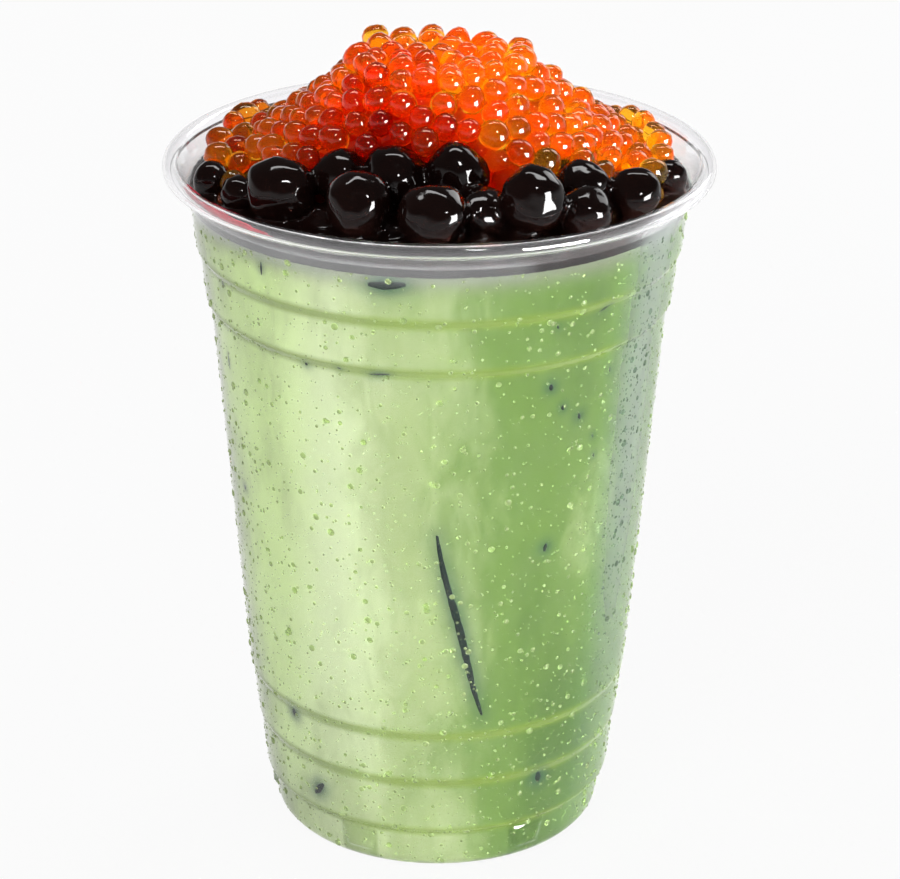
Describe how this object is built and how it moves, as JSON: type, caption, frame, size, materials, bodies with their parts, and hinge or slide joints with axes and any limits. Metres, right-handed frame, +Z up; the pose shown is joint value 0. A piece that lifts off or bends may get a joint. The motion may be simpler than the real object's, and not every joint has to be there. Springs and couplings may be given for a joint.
{
  "type": "green milk tea with boba",
  "caption": "Clear flared plastic cup filled with green milk tea, topped with black tapioca pearls and a heap of orange popping pearls.",
  "frame": {"origin": "middle of the foot's underside, on the surface the cup stands on", "axes": "+Z up along the cup's axis, the black pearls' side looks along -Y, +X to the right of it"},
  "size_m": [0.098, 0.098, 0.1482],
  "materials": {
    "clear_plastic": "clear thin thermoformed plastic, glossy, with fine condensation",
    "milk_tea": "opaque pale green milk tea with darker green swirls",
    "tapioca": "near-black glossy tapioca, wet with syrup",
    "popping_pearl": "translucent orange juice pearls, glossy"
  },
  "bodies": {
    "root": {"cup": "clear_plastic", "milk_tea": "milk_tea", "popping_pearls": "popping_pearl", "tapioca_pearl_01": "tapioca", "tapioca_pearl_02": "tapioca", "tapioca_pearl_03": "tapioca", "tapioca_pearl_04": "tapioca", "tapioca_pearl_05": "tapioca", "tapioca_pearl_06": "tapioca", "tapioca_pearl_07": "tapioca", "tapioca_pearl_08": "tapioca", "tapioca_pearl_09": "tapioca", "tapioca_pearl_10": "tapioca", "tapioca_pearl_11": "tapioca", "tapioca_pearl_12": "tapioca", "tapioca_pearl_13": "tapioca", "tapioca_pearl_14": "tapioca", "tapioca_pearl_15": "tapioca", "tapioca_pearl_16": "tapioca", "tapioca_pearl_17": "tapioca", "tapioca_pearl_18": "tapioca", "tapioca_pearl_19": "tapioca", "tapioca_pearl_20": "tapioca", "tapioca_pearl_21": "tapioca", "tapioca_pearl_22": "tapioca", "tapioca_pearl_23": "tapioca", "tapioca_pearl_24": "tapioca", "tapioca_pearl_25": "tapioca", "tapioca_pearl_26": "tapioca", "tapioca_pearl_27": "tapioca", "tapioca_pearl_28": "tapioca", "tapioca_pearl_29": "tapioca", "tapioca_pearl_30": "tapioca", "tapioca_pearl_31": "tapioca", "tapioca_pearl_32": "tapioca", "tapioca_pearl_33": "tapioca", "tapioca_pearl_34": "tapioca", "tapioca_pearl_35": "tapioca", "tapioca_pearl_36": "tapioca", "tapioca_pearl_37": "tapioca", "tapioca_pearl_38": "tapioca", "tapioca_pearl_39": "tapioca", "tapioca_pearl_40": "tapioca", "tapioca_pearl_41": "tapioca", "tapioca_pearl_42": "tapioca", "tapioca_pearl_43": "tapioca", "tapioca_pearl_44": "tapioca", "tapioca_pearl_45": "tapioca", "tapioca_pearl_46": "tapioca", "tapioca_pearl_47": "tapioca", "tapioca_pearl_48": "tapioca", "tapioca_pearl_49": "tapioca", "tapioca_pearl_50": "tapioca", "tapioca_pearl_51": "tapioca"}
  },
  "joints": []
}
